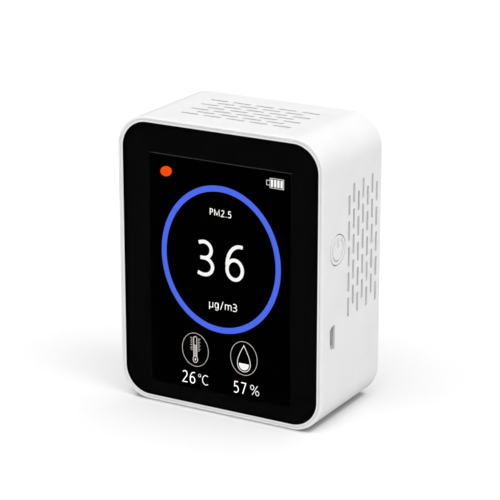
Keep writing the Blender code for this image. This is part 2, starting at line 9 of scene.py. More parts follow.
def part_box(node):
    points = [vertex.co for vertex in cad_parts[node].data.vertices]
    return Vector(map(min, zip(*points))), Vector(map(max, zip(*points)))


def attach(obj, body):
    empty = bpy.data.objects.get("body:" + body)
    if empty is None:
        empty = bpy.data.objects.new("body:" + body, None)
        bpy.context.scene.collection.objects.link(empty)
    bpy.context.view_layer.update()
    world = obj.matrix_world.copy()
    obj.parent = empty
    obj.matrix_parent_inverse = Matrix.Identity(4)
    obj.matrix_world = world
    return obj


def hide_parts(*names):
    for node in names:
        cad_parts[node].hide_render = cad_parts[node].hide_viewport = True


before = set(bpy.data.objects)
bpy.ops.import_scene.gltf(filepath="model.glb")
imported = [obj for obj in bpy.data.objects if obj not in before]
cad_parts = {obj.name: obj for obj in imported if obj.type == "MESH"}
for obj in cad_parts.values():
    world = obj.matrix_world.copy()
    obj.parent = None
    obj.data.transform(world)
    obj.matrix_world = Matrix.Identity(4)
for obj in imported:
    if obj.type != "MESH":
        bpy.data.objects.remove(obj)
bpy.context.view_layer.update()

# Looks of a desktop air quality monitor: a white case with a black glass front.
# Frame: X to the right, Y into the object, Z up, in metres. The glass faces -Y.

MM = 0.001


def mm(*values):
    """Millimetres as metres."""
    return tuple(value * MM for value in values)


# ---------------- dimensions

SHELL_LOW, SHELL_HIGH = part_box("main_shell")
HALF_WIDTH = SHELL_HIGH.x
HALF_HEIGHT = SHELL_HIGH.z / 2
CENTRE_Z = HALF_HEIGHT
FRONT = SHELL_LOW.y
BACK = SHELL_HIGH.y
CASE_DEPTH = BACK - FRONT

GAP = 0.3 * MM
HAIR = 0.02 * MM  # air between thin films, so that no two faces coincide
WALL = 2.0 * MM
CORNER_RADIUS = 10.3 * MM
CORNER_STEPS = 20  # straight edges in a quarter turn of a case corner

LIP_INSET = HALF_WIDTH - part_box("front_frame")[1].x
GLASS_INSET = HALF_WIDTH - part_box("front_glass")[1].x
GLASS_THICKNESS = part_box("front_glass")[1].y - FRONT
POCKET_INSET = GLASS_INSET - GAP
POCKET_DEPTH = GLASS_THICKNESS + GAP
FRAME_BACK = 3.2 * MM  # depth to which the front frame reaches
GROOVE_INSET = 0.65 * MM
GROOVE_DEPTH = 0.3 * MM

COVER_INSET = HALF_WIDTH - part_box("rear_cover")[1].x
COVER_THICKNESS = 1.6 * MM
COVER_FRONT = CASE_DEPTH - COVER_THICKNESS
REAR_REBATE = COVER_INSET - GAP

SLOT_LENGTH = 6.2 * MM
SLOT_WIDTH = 1.3 * MM
SLOT_CORNER = 0.35 * MM
SLOT_PITCH = 8.0 * MM
ROW_PITCH = 3.0 * MM
GRILLE_ROWS = 7
SIDE_GRILLE_DEPTH = 25.65 * MM
SIDE_GRILLE_HEIGHT = 51.9 * MM
SIDE_GRILLE_SHIFT = 3.2 * MM
REAR_GRILLE_HEIGHT = 63.0 * MM
MOUTH_ROUND = 0.12 * MM  # rounding of the edges of slots and holes

BUTTON_LOW, BUTTON_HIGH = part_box("power_button")
BUTTON_RADIUS = 4.6 * MM
BUTTON_Y = (BUTTON_LOW.y + BUTTON_HIGH.y) / 2
BUTTON_Z = (BUTTON_LOW.z + BUTTON_HIGH.z) / 2
BUTTON_STEM = HALF_WIDTH - BUTTON_LOW.x  # from the cap's face to the end of its stem

USB_LOW, USB_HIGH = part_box("usb_shell")
USB_Y = (USB_LOW.y + USB_HIGH.y) / 2
USB_Z = (USB_LOW.z + USB_HIGH.z) / 2

SCREW_LOW, SCREW_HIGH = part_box("cover_screw_3")
SCREW_X = (SCREW_LOW.x + SCREW_HIGH.x) / 2
SCREW_RISE = (SCREW_LOW.z + SCREW_HIGH.z) / 2 - CENTRE_Z
CORNERS = [(-1, -1), (1, -1), (1, 1), (-1, 1)]
SCREW_PLACES = [(side_x * SCREW_X, CENTRE_Z + side_z * SCREW_RISE) for side_x, side_z in CORNERS]


def deep(distance):
    """Y of a plane that lies this far behind the front of the case."""
    return FRONT + distance


# ---------------- faces of the case
# Each face takes (u, v) on its plane and a distance w into the case.


def on_front(u, v, w):
    return (u, FRONT + w, v)


def on_back(u, v, w):
    return (u, BACK - w, v)


def on_top(u, v, w):
    return (u, v, SHELL_HIGH.z - w)


def on_right(u, v, w):
    return (HALF_WIDTH - w, v, u)


def on_left(u, v, w):
    return (w - HALF_WIDTH, v, u)


# ---------------- outlines
# An outline is a function of how far it grows outwards, and gives a loop of (u, v) points.


def rectangle(u, v, half_u, half_v, radius=0.0, steps=4):
    """A rectangle about (u, v), with round corners if it has a radius."""
    signs = [(1, -1), (1, 1), (-1, 1), (-1, -1)]

    def outline(grow=0.0):
        turn = radius + grow if radius else 0.0
        if not turn:
            return [(u + side_u * (half_u + grow), v + side_v * (half_v + grow)) for side_u, side_v in signs]
        points = []
        for quarter, (side_u, side_v) in enumerate(signs):
            centre_u = u + side_u * (half_u + grow - turn)
            centre_v = v + side_v * (half_v + grow - turn)
            for step in range(steps + 1):
                angle = math.radians(90) * (quarter - 1 + step / steps)
                points.append((centre_u + turn * math.cos(angle), centre_v + turn * math.sin(angle)))
        return points

    return outline


def ellipse(u, v, half_u, half_v, steps=96):
    def outline(grow=0.0):
        angles = [2 * math.pi * step / steps for step in range(steps)]
        return [(u + (half_u + grow) * math.cos(a), v + (half_v + grow) * math.sin(a)) for a in angles]

    return outline


def circle(u, v, radius, steps=48):
    return ellipse(u, v, radius, radius, steps)


def polygon(points):
    """A plain loop of points, which can grow too."""

    def outline(grow=0.0):
        return offset(points, grow) if grow else list(points)

    return outline


def offset(points, distance):
    """A counterclockwise loop, moved outwards along its corners' bisectors."""
    least_cosine = 0.35  # keeps sharp corners from shooting out
    moved = []
    for before, here, after in zip(points[-1:] + points[:-1], points, points[1:] + points[:1]):
        back = (Vector(here) - Vector(before)).normalized()
        ahead = (Vector(after) - Vector(here)).normalized()
        normals = [Vector((side.y, -side.x)) for side in (back, ahead)]
        bisector = (normals[0] + normals[1]).normalized()
        reach = distance / max(bisector.dot(normals[0]), least_cosine)
        moved.append(tuple(Vector(here) + bisector * reach))
    return moved


CASE_OUTLINE = rectangle(0, CENTRE_Z, HALF_WIDTH, HALF_HEIGHT, CORNER_RADIUS, CORNER_STEPS)


def socket_outline(clearance):
    """The charging socket on the case's side, as (z, y) points: its narrow side faces the front."""
    half_depth, wide, narrow = [size + clearance for size in mm(1.3, 3.45, 2.45)]
    shoulder = -0.2 * MM
    upper = [(wide, half_depth), (wide, shoulder), (narrow, -half_depth)]
    corners = upper + [(-z, y) for z, y in reversed(upper)]
    ease = 0.35 * MM
    points = round_corners([(USB_Z + z, USB_Y + y, ease) for z, y in corners])

    def outline(grow=0.0):
        return offset(points, -grow) if grow else points

    return outline


def round_corners(corners, steps=4):
    """Turn a loop of (a, b, radius) corners into points, with an arc at each corner that has a radius."""
    points = []
    count = len(corners)
    for index, (a, b, radius) in enumerate(corners):
        here = Vector((a, b))
        if not radius:
            points.append((a, b))
            continue
        back = (Vector(corners[index - 1][:2]) - here).normalized()
        ahead = (Vector(corners[(index + 1) % count][:2]) - here).normalized()
        half_angle = back.angle(ahead) / 2
        centre = here + (back + ahead).normalized() * radius / math.sin(half_angle)
        reach = radius / math.tan(half_angle)
        start = here + back * reach - centre
        end = here + ahead * reach - centre
        turn = -start.angle_signed(end)
        for step in range(steps + 1):
            points.append(tuple(centre + Matrix.Rotation(turn * step / steps, 2) @ start))
    return points


def band(points, width):
    """The outline of a line of some width along an open row of points."""
    least_cosine = 0.5
    line = [Vector(point) for point in points]
    steps = [(after - before).normalized() for before, after in zip(line, line[1:])]
    sides = [Vector((-step.y, step.x)) for step in steps]
    left, right = [], []
    for here, before, after in zip(line, [sides[0], *sides], [*sides, sides[-1]]):
        middle = (before + after).normalized()
        reach = middle * width / 2 / max(middle.dot(before), least_cosine)
        left.append(tuple(here + reach))
        right.append(tuple(here - reach))
    return right + left[::-1]


def bow(u, v, half_u, half_v, start, end, steps=None):
    """Points of an elliptic arc between two angles in degrees, usually one for every 12 degrees."""
    steps = steps or round(abs(end - start) / 12)
    angles = [math.radians(start + (end - start) * step / steps) for step in range(steps + 1)]
    return [(u + half_u * math.cos(angle), v + half_v * math.sin(angle)) for angle in angles]


# ---------------- mesh building


def inside(point, loop):
    """Whether a point lies within a loop."""
    within = False
    for (u0, v0), (u1, v1) in zip(loop, loop[1:] + loop[:1]):
        if (v0 > point[1]) != (v1 > point[1]):
            crossing = u0 + (point[1] - v0) * (u1 - u0) / (v1 - v0)
            within ^= point[0] < crossing
    return within


def fill(mesh, border, holes, face, w):
    """Fill a flat loop on a face of the case, around the loops of its holes."""
    keep_inside, tolerance = 1, 1e-6
    loops = [border, *holes]
    points = [Vector(point) / MM for loop in loops for point in loop]
    edges = []
    for loop in loops:
        start = len(edges)
        edges += [(start + i, start + (i + 1) % len(loop)) for i in range(len(loop))]
    flat, _, triangles = delaunay_2d_cdt(points, edges, [], keep_inside, tolerance)[:3]
    flat = [point * MM for point in flat]
    verts = [mesh.verts.new(face(*point, w)) for point in flat]
    for triangle in triangles:
        middle = sum((flat[i] for i in triangle), Vector((0, 0))) / len(triangle)
        if inside(middle, border) and not any(inside(middle, hole) for hole in holes):
            mesh.faces.new([verts[i] for i in triangle])


def tube(mesh, outline, stations, face, caps=(False, False), closed=False, leave_out=None):
    """Skin an outline through (grow, w) stations. leave_out(station, edge) says which faces to leave out."""
    rings = [[mesh.verts.new(face(u, v, w)) for u, v in outline(grow)] for grow, w in stations]
    pairs = list(zip(rings, rings[1:]))
    if closed:
        pairs.append((rings[-1], rings[0]))
    for station, (near, far) in enumerate(pairs):
        for i in range(len(near)):
            if leave_out and leave_out(station, i):
                continue
            j = (i + 1) % len(near)
            mesh.faces.new((near[i], near[j], far[j], far[i]))
    for ring, wanted in zip((rings[0], rings[-1]), caps):
        if wanted:
            mesh.faces.new(ring)


def slab(mesh, border, holes, face, span):
    """A flat plate between two distances into the case, with holes through it."""
    for w in span:
        fill(mesh, border(), [hole() for hole in holes], face, w)
    for outline in (border, *holes):
        tube(mesh, outline, [(0, w) for w in span], face)


def eased(edge, turn, start=0.0, steps=4):
    """Stations of a rounded edge: turn is 1 for a hole's mouth and -1 for the rim of a solid."""
    stations = []
    for step in range(steps + 1):
        angle = math.radians(90) * step / steps
        stations.append((turn * edge * (1 - math.sin(angle)), start + edge * (1 - math.cos(angle))))
    return stations


def bar(mesh, x, depth, z):
    """A plain bar from its spans in x, in depth and in z."""
    outline = rectangle(sum(x) / 2, sum(z) / 2, (x[1] - x[0]) / 2, (z[1] - z[0]) / 2)
    tube(mesh, outline, [(0, distance) for distance in depth], on_front, caps=(True, True))


MERGE_DISTANCE = 0.001 * MM
SHARP_ANGLE = math.radians(38)  # edges that turn more than this are shaded as sharp


def finish_piece(name, mesh, material, body="case", replaces=()):
    """Turn a bmesh into a piece that rides on a body of the frame."""
    bmesh.ops.remove_doubles(mesh, verts=mesh.verts, dist=MERGE_DISTANCE)
    bmesh.ops.recalc_face_normals(mesh, faces=mesh.faces)
    data = bpy.data.meshes.new(name)
    mesh.to_mesh(data)
    mesh.free()
    data.shade_smooth()
    data.set_sharp_from_angle(angle=SHARP_ANGLE)
    data.materials.append(MATERIALS[material])
    piece = bpy.data.objects.new(name, data)
    bpy.context.scene.collection.objects.link(piece)
    normals = piece.modifiers.new("even_shading", "WEIGHTED_NORMAL")
    normals.keep_sharp = True
    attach(piece, body)
    if replaces:
        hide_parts(*replaces)
    return piece


# ---------------- material helpers


def srgb(red, green, blue):
    """A colour given as screen values from 0 to 255, as linear light."""
    channels = [value / 255 for value in (red, green, blue)]
    return tuple(c / 12.92 if c <= 0.04045 else ((c + 0.055) / 1.055) ** 2.4 for c in channels)


def add_node(tree, kind, inputs=(), **settings):
    """Add a node, set its properties, and link its inputs or set their values."""
    node = tree.nodes.new(kind)
    for name, value in settings.items():
        setattr(node, name, value)
    for socket, source in dict(inputs).items():
        if isinstance(source, bpy.types.NodeSocket):
            tree.links.new(source, node.inputs[socket])
        else:
            node.inputs[socket].default_value = source
    return node


PATTERN_LOW, PATTERN_HIGH = 0.3, 0.7  # most of a pattern's values lie between these


class Finish:
    """A Principled material, with the nodes that vary it over the surface."""

    def __init__(self, name, colour, roughness, **sockets):
        self.material = bpy.data.materials.new(name)
        self.material.use_nodes = True
        self.tree = self.material.node_tree
        self.shader = self.tree.nodes["Principled BSDF"]
        self.set_socket("Base Color", (*colour, 1.0))
        self.set_socket("Roughness", roughness)
        for socket, value in sockets.items():
            self.set_socket(socket.replace("_", " "), value)
        self.place = self.tree.nodes.new("ShaderNodeTexCoord").outputs["Object"]
        self.normal = None

    def set_socket(self, socket, value):
        self.shader.inputs[socket].default_value = value

    def node(self, kind, inputs=(), **settings):
        return add_node(self.tree, kind, inputs, **settings)

    def noise(self, size, detail=2.0, stretch=None):
        """A noise pattern whose lumps are about this size in metres."""
        place = self.place
        if stretch:
            links = {"Vector": place, "Scale": stretch}
            place = self.node("ShaderNodeMapping", links).outputs["Vector"]
        links = {"Vector": place, "Scale": 1 / size, "Detail": detail, "Roughness": 0.55}
        return self.node("ShaderNodeTexNoise", links).outputs["Fac"]

    def tint(self, factor, dark, light, socket="Base Color"):
        """Let a pattern mix two colours into the shader."""
        ramp = self.node("ShaderNodeValToRGB", {"Fac": factor})
        for stop, place, colour in zip(ramp.color_ramp.elements, (PATTERN_LOW, PATTERN_HIGH), (dark, light)):
            stop.position = place
            stop.color = (*colour, 1.0)
        self.tree.links.new(ramp.outputs["Color"], self.shader.inputs[socket])

    def vary(self, socket, factor, low, high):
        """Let a pattern move a value of the shader between two limits."""
        links = {"Value": factor, "From Min": PATTERN_LOW, "From Max": PATTERN_HIGH}
        ranged = self.node("ShaderNodeMapRange", links | {"To Min": low, "To Max": high})
        self.tree.links.new(ranged.outputs["Result"], self.shader.inputs[socket])

    def bump(self, height, depth, strength=1.0):
        """Add a relief of this depth in metres on top of any earlier one."""
        links = {"Height": height, "Distance": depth, "Strength": strength}
        if self.normal:
            links["Normal"] = self.normal
        self.normal = self.node("ShaderNodeBump", links).outputs["Normal"]
        self.tree.links.new(self.normal, self.shader.inputs["Normal"])


def shade(colour, factor):
    """A colour made lighter or darker."""
    return tuple(min(channel * factor, 1.0) for channel in colour)


# ---------------- materials


def moulded_plastic(name, colour, roughness, grain=0.22 * MM):
    """Injection-moulded plastic: a fine spark-eroded grain, faint flow marks and uneven gloss."""
    finish = Finish(name, colour, roughness, IOR=1.49)
    fine = finish.noise(grain, detail=3.0)
    broad = finish.noise(9 * MM, detail=2.0)
    finish.tint(broad, shade(colour, 0.975), shade(colour, 1.012))
    finish.vary("Roughness", fine, roughness - 0.05, roughness + 0.06)
    finish.bump(broad, 0.02 * MM, strength=0.25)
    finish.bump(fine, 0.006 * MM)
    return finish.material


def clear_glass():
    """The front lens, with a coating that takes away most of its reflection."""
    finish = Finish("clear_glass", (1.0, 1.0, 1.0), 0.0, Transmission_Weight=1.0, IOR=1.18)
    smudges = finish.noise(14 * MM, detail=3.0)
    finish.vary("Roughness", smudges, 0.0, 0.012)
    return finish.material


def printed_ink():
    """The black border, printed on the back of the glass."""
    finish = Finish("printed_ink", srgb(17, 17, 17), 0.5, Specular_IOR_Level=0.0)
    speckle = finish.noise(0.12 * MM, detail=2.0)
    finish.tint(speckle, srgb(15, 15, 15), srgb(19, 19, 19))
    finish.bump(speckle, 0.002 * MM)
    return finish.material


def black_adhesive():
    """Foam tape around the glass, too dark and dull to show any light."""
    finish = Finish("black_adhesive", (0.0015, 0.0015, 0.0015), 1.0, Specular_IOR_Level=0.0)
    cells = finish.noise(0.15 * MM)
    finish.tint(cells, (0.001, 0.001, 0.001), (0.002, 0.002, 0.002))
    finish.bump(cells, 0.01 * MM)
    return finish.material


def display_surface():
    """The unlit face of the LCD, with its fine grid of pixels."""
    finish = Finish("display_surface", (0.0003, 0.0003, 0.0003), 0.5, Specular_IOR_Level=0.0)
    finish.bump(pixel_grid(finish), 0.001 * MM)
    return finish.material


PIXEL = 0.153 * MM  # a 3.5 inch panel of 320 by 480


def pixel_grid(finish):
    """A pattern that is 1 on the pixels and 0 on the dark lines between them."""
    turned = finish.node("ShaderNodeMapping", {"Vector": finish.place, "Rotation": (math.radians(-90), 0, 0)})
    links = {
        "Vector": turned.outputs["Vector"],
        "Color1": (1, 1, 1, 1),
        "Color2": (1, 1, 1, 1),
        "Mortar": (0, 0, 0, 1),
        "Scale": 1 / PIXEL,
        "Mortar Size": 0.06,
        "Brick Width": 1.0,
        "Row Height": 1.0,
    }
    return finish.node("ShaderNodeTexBrick", links, offset=0.0).outputs["Color"]


def screen_light(name, colour, strength):
    """A lit part of the display: its colour, broken up by the pixel grid."""
    finish = Finish(name, (0.0, 0.0, 0.0), 0.5, Specular_IOR_Level=0.0, Emission_Strength=strength)
    finish.tint(pixel_grid(finish), shade(colour, 0.9), colour, socket="Emission Color")
    return finish.material


def brushed_metal(name, colour, roughness, stretch=(1.0, 1.0, 14.0)):
    """Rolled or turned metal, with fine scratches along one direction."""
    finish = Finish(name, colour, roughness, Metallic=1.0)
    scratches = finish.noise(0.3 * MM, detail=4.0, stretch=stretch)
    finish.tint(scratches, shade(colour, 0.85), shade(colour, 1.1))
    finish.vary("Roughness", scratches, roughness - 0.08, roughness + 0.12)
    finish.bump(scratches, 0.003 * MM)
    return finish.material


def circuit_board():
    """Green solder mask over etched copper, with a glassy skin."""
    finish = Finish("circuit_board", (0.012, 0.11, 0.045), 0.3, Coat_Weight=0.4)
    links = {"Vector": finish.place, "Scale": 1 / (2.4 * MM)}
    tracks = finish.node("ShaderNodeTexVoronoi", links, distance="MANHATTAN").outputs["Distance"]
    finish.tint(tracks, (0.008, 0.075, 0.03), (0.03, 0.19, 0.08))
    finish.vary("Roughness", finish.noise(0.4 * MM), 0.24, 0.38)
    finish.bump(tracks, 0.03 * MM, strength=0.6)
    return finish.material


def battery_foil():
    """The pouch cell's aluminised film, slightly wrinkled."""
    finish = Finish("battery_foil", (0.55, 0.57, 0.6), 0.32, Metallic=0.75)
    wrinkles = finish.noise(5 * MM, detail=4.0)
    finish.vary("Roughness", finish.noise(0.5 * MM), 0.26, 0.42)
    finish.bump(wrinkles, 0.35 * MM, strength=0.7)
    finish.bump(finish.noise(0.4 * MM), 0.01 * MM)
    return finish.material


def foam():
    """Open-celled foam."""
    finish = Finish("foam", (0.03, 0.03, 0.032), 0.95)
    cells = finish.node("ShaderNodeTexVoronoi", {"Vector": finish.place, "Scale": 1 / (0.5 * MM)})
    finish.tint(cells.outputs["Distance"], (0.012, 0.012, 0.013), (0.055, 0.055, 0.058))
    finish.bump(cells.outputs["Distance"], 0.2 * MM)
    return finish.material


def flex_film():
    """Amber polyimide over fine parallel tracks."""
    finish = Finish("flex_film", (0.5, 0.24, 0.035), 0.28, Coat_Weight=0.3)
    links = {"Vector": finish.place, "Scale": 1 / (3.2 * MM)}
    tracks = finish.node("ShaderNodeTexWave", links, bands_direction="X").outputs["Fac"]
    finish.tint(tracks, (0.38, 0.16, 0.02), (0.58, 0.3, 0.05))
    finish.bump(tracks, 0.01 * MM)
    return finish.material


SLEEVE_GRAIN = 0.4 * MM
PLASTICS = {  # colour, roughness and sometimes the size of the grain
    "shell_white": (srgb(236, 236, 236), 0.42),
    "dark_plastic": ((0.02, 0.02, 0.022), 0.5),
    "sensor_plastic": ((0.07, 0.08, 0.095), 0.55),
    "chip_resin": ((0.016, 0.016, 0.018), 0.6, 0.12 * MM),
    "cream_plastic": ((0.7, 0.64, 0.5), 0.45),
    "grey_plastic": ((0.35, 0.35, 0.36), 0.45),
    "pale_plastic": ((0.8, 0.8, 0.79), 0.5),
    "dark_edge": ((0.0014, 0.0014, 0.0014), 0.3),
    "red_sleeve": ((0.5, 0.015, 0.015), 0.4, SLEEVE_GRAIN),
    "black_sleeve": ((0.015, 0.015, 0.015), 0.4, SLEEVE_GRAIN),
    "grey_sleeve": ((0.45, 0.45, 0.46), 0.4, SLEEVE_GRAIN),
}
METALS = {  # colour, roughness and sometimes the stretch of the scratches
    "steel": ((0.58, 0.58, 0.6), 0.32),
    "socket_steel": ((0.9, 0.9, 0.91), 0.5, (14.0, 1.0, 1.0)),
    "brass": ((0.75, 0.52, 0.22), 0.3, (1.0, 14.0, 14.0)),
    "gold": ((0.85, 0.62, 0.25), 0.25),
}
LIGHTS = {  # colour and strength
    "light_white": (srgb(252, 251, 249), 1.0),
    "light_text": (srgb(252, 251, 249), 1.5),
    "light_line": (srgb(235, 228, 224), 1.0),
    "light_grey": (srgb(172, 166, 162), 1.0),
    "light_blue": (srgb(78, 108, 240), 1.0),
    "light_orange": (srgb(252, 78, 12), 1.0),
}
MATERIALS = {
    "clear_glass": clear_glass(),
    "printed_ink": printed_ink(),
    "black_adhesive": black_adhesive(),
    "display_surface": display_surface(),
    "circuit_board": circuit_board(),
    "battery_foil": battery_foil(),
    "foam": foam(),
    "flex_film": flex_film(),
    **{name: moulded_plastic(name, *look) for name, look in PLASTICS.items()},
    **{name: brushed_metal(name, *look) for name, look in METALS.items()},
    **{name: screen_light(name, *look) for name, look in LIGHTS.items()},
}


# ---------------- main shell


def staggered_grid(long_count, short_count, shift):
    """(row offset, slot offset) pairs about the middle. Odd rows hold short_count slots, moved by shift."""
    places = []
    for row in range(GRILLE_ROWS):
        count, move = (short_count, shift) if row % 2 else (long_count, 0)
        for slot in range(count):
            along = (slot - (long_count - 1) / 2) * SLOT_PITCH + move
            places.append(((row - (GRILLE_ROWS - 1) / 2) * ROW_PITCH, along))
    return places


def slot_hole(u, v):
    return rectangle(u, v, SLOT_LENGTH / 2, SLOT_WIDTH / 2, SLOT_CORNER)


def level_slots(middle):
    """The slots of the top and the back: level rows about this depth or height."""
    grid = staggered_grid(5, 4, SLOT_PITCH / 2)
    return [slot_hole(along, middle + row) for row, along in grid]


def side_slots():
    grid = staggered_grid(5, 5, SIDE_GRILLE_SHIFT)
    return [slot_hole(SIDE_GRILLE_HEIGHT + along, deep(SIDE_GRILLE_DEPTH + row)) for row, along in grid]


def pierced_wall(mesh, face, half_run, middle, holes, spans):
    """A flat side of the shell, outer and inner skin, with rounded mouths to its holes."""
    for w, span, grow in zip((0.0, WALL), spans, (MOUTH_ROUND, 0.0)):
        centre = deep(sum(span) / 2)
        border = rectangle(middle, centre, half_run, (span[1] - span[0]) / 2)
        fill(mesh, border(), [hole(grow) for hole in holes], face, w)
    for hole in holes:
        tube(mesh, hole, [*eased(MOUTH_ROUND, 1), (0, WALL)], face)


def shell_body():
    """The white sleeve: a front rim with its groove, three grilles, and holes for button and socket."""
    front_round, back_round, groove_round = mm(0.5, 0.8, 0.12)
    inner_span = (FRAME_BACK + GAP, COVER_FRONT - GAP)
    groove_slope = 0.15 * MM
    groove_end = LIP_INSET - 2 * HAIR
    section = round_corners(
        [
            (0, 0, front_round),
            (0, CASE_DEPTH, back_round),
            (REAR_REBATE, CASE_DEPTH, groove_round),
            (REAR_REBATE, inner_span[1], 0),
            (WALL, inner_span[1], 0),
            (WALL, inner_span[0], 0),
            (groove_end, inner_span[0], 0),
            (groove_end, GROOVE_DEPTH, 0),
            (GROOVE_INSET + groove_slope, GROOVE_DEPTH, 0),
            (GROOVE_INSET, 0, groove_round),
        ]
    )
    stations = [(-inset, depth) for inset, depth in section]
    bottom = 3

    def is_open_side(station, edge):
        depths = stations[station][1], stations[(station + 1) % len(stations)][1]
        quarter, step = divmod(edge, CORNER_STEPS + 1)
        return abs(depths[0] - depths[1]) > CASE_DEPTH / 2 and step == CORNER_STEPS and quarter != bottom

    mesh = bmesh.new()
    tube(mesh, CASE_OUTLINE, stations, on_front, closed=True, leave_out=is_open_side)
    spans = ((front_round, CASE_DEPTH - back_round), inner_span)
    button_hole = circle(BUTTON_Z, BUTTON_Y, BUTTON_RADIUS + GAP, steps=64)
    half_flat_width, half_flat_height = HALF_WIDTH - CORNER_RADIUS, HALF_HEIGHT - CORNER_RADIUS
    right_holes = [*side_slots(), button_hole, socket_outline(GAP)]
    pierced_wall(mesh, on_top, half_flat_width, 0, level_slots(deep(CASE_DEPTH / 2)), spans)
    pierced_wall(mesh, on_left, half_flat_height, CENTRE_Z, side_slots(), spans)
    pierced_wall(mesh, on_right, half_flat_height, CENTRE_Z, right_holes, spans)
    for x, z in SCREW_PLACES:
        screw_boss(mesh, x, z)
    finish_piece("shell_body", mesh, "shell_white", replaces=["main_shell"])


def screw_boss(mesh, x, z):
    """A post in a corner of the shell, with a blind hole for a cover screw."""
    radius, bore_radius = mm(3.0, 1.2)
    front, floor, back = mm(24.0, 28.0, 34.3)
    step = bore_radius - radius
    stations = [(0, front), (0, back), (step, back), (step, floor)]
    tube(mesh, circle(x, z, radius, steps=32), stations, on_front, caps=(True, True))


# ---------------- front frame and glass


def glass_frame():
    """The thin white lip around the glass, the ledge behind it, and the frame's posts and tabs."""
    lip_round = 0.06 * MM
    skirt = LIP_INSET + 1.6 * MM
    ledge_inset = skirt + 1.4 * MM
    ledge_back = POCKET_DEPTH + MM
    section = round_corners(
        [
            (LIP_INSET, 0, lip_round),
            (LIP_INSET, FRAME_BACK, 0),
            (skirt, FRAME_BACK, 0),
            (skirt, ledge_back, 0),
            (ledge_inset, ledge_back, 0),
            (ledge_inset, POCKET_DEPTH, 0),
            (POCKET_INSET, POCKET_DEPTH, 0),
            (POCKET_INSET, 0, lip_round),
        ]
    )
    mesh = bmesh.new()
    tube(mesh, CASE_OUTLINE, [(-inset, depth) for inset, depth in section], on_front, closed=True)
    ledge_radius, window_half_x, window_radius = mm(7.5, 28.6, 1.2)
    ledge = rectangle(0, CENTRE_Z, HALF_WIDTH - skirt, HALF_HEIGHT - skirt, ledge_radius, 8)
    low, high = mm(4.3, 86.6)
    window = rectangle(0, (low + high) / 2, window_half_x, (high - low) / 2, window_radius)
    slab(mesh, ledge, [window], on_front, (POCKET_DEPTH, ledge_back))
    for x in mm(-30.7, 30.7):
        for z in mm(14.0, 73.0):
            board_post(mesh, x, z)
    for side in (-1, 1):
        for x in mm(-17.0, 17.0):
            snap_tab(mesh, x, side)
    finish_piece("glass_frame", mesh, "shell_white", replaces=["front_frame"])


def board_post(mesh, x, z):
    """A post behind the frame that carries the board, with a blind hole for a screw."""
    radius, bore_radius = mm(2.0, 1.1)
    front, floor, back = mm(1.8, 1.9, 3.7)
    step = bore_radius - radius
    stations = [(0, front), (0, back), (step, back), (step, floor)]
    tube(mesh, circle(x, z, radius, steps=24), stations, on_front, caps=(True, True))


def snap_tab(mesh, x, side):
    """A tab behind the frame's top or bottom edge, with a barb that catches in the shell."""
    half, overlap = mm(4.0, 0.2)
    root, arm, barb = [CENTRE_Z + side * (HALF_HEIGHT - inset) for inset in mm(3.4, 2.3, 1.3)]
    bar(mesh, (x - half, x + half), mm(2.0, 8.0), sorted((root, arm)))
    bar(mesh, (x - half, x + half), mm(6.3, 7.7), sorted((arm - side * overlap, barb)))


def glass_lens():
    """The clear pane, with its front edge eased and its sides blackened."""
    edge = 0.03 * MM
    mesh = bmesh.new()
    stations = [(grow - GLASS_INSET, w) for grow, w in eased(edge, -1)]
    stations.append((-GLASS_INSET, GLASS_THICKNESS))
    tube(mesh, CASE_OUTLINE, stations, on_front, caps=(True, True))
    lens = finish_piece("glass_lens", mesh, "clear_glass", replaces=["front_glass"])
    lens.data.materials.append(MATERIALS["black_adhesive"])
    for face in lens.data.polygons:
        is_side = abs(face.normal.y) < 0.5
        face.material_index = int(is_side)


WINDOW = rectangle(*mm(-0.175, 43.3, 24.425, 36.575))  # the part of the display that shows
BEVEL = 0.3 * MM
INK_THICKNESS = 0.05 * MM
INK_SPAN = (GLASS_THICKNESS + HAIR, GLASS_THICKNESS + HAIR + INK_THICKNESS)


def glass_border():
    """The black print behind the glass, open over the display's window."""

    def border(grow=0.0):
        return CASE_OUTLINE(grow - GLASS_INSET - HAIR)

    mesh = bmesh.new()
    slab(mesh, border, [polygon(WINDOW(BEVEL))], on_front, INK_SPAN)
    finish_piece("glass_border", mesh, "printed_ink")


def glass_gasket():
    """The black adhesive in the gap between the glass and its pocket."""
    outer, inner = POCKET_INSET + HAIR / 2, GLASS_INSET - HAIR
    near, far = HAIR, POCKET_DEPTH - 2.5 * HAIR
    section = [(outer, near), (inner, near), (inner, far), (outer, far)]
    mesh = bmesh.new()
    tube(mesh, CASE_OUTLINE, [(-inset, depth) for inset, depth in section], on_front, closed=True)
    finish_piece("glass_gasket", mesh, "black_adhesive")


# ---------------- what the display shows
# Places are in metres on the display's own plane, which lies a little behind the glass.

LIT_SPAN = (POCKET_DEPTH - 3 * HAIR, POCKET_DEPTH - HAIR)


def lit_piece(name, shapes, light):
    """A lit figure from its (border, holes) shapes."""
    mesh = bmesh.new()
    for border, holes in shapes:
        slab(mesh, border, holes, on_front, LIT_SPAN)
    finish_piece(name, mesh, light)


def ring_shape(u, v, half_u, half_v, width_u, width_v):
    outer = ellipse(u, v, half_u, half_v)
    inner = ellipse(u, v, half_u - width_u, half_v - width_v)
    return outer, [inner]


def frame_shape(outline, width):
    """A line of even width just inside an outline."""
    points = outline()
    return polygon(points), [polygon(offset(points, -width))]


def window_edge():
    """The bevelled edge of the display's window, which slopes back towards the case's sides."""
    near, far = INK_SPAN[1] + HAIR / 2, POCKET_DEPTH - HAIR
    mesh = bmesh.new()
    tube(mesh, WINDOW, [(0, near), (BEVEL, far), (0, far)], on_front, closed=True)
    finish_piece("window_edge", mesh, "dark_edge")


def air_ring():
    lit_piece("air_ring", [ring_shape(*mm(0.0, 49.47, 20.82, 23.29, 1.74, 1.87))], "light_blue")


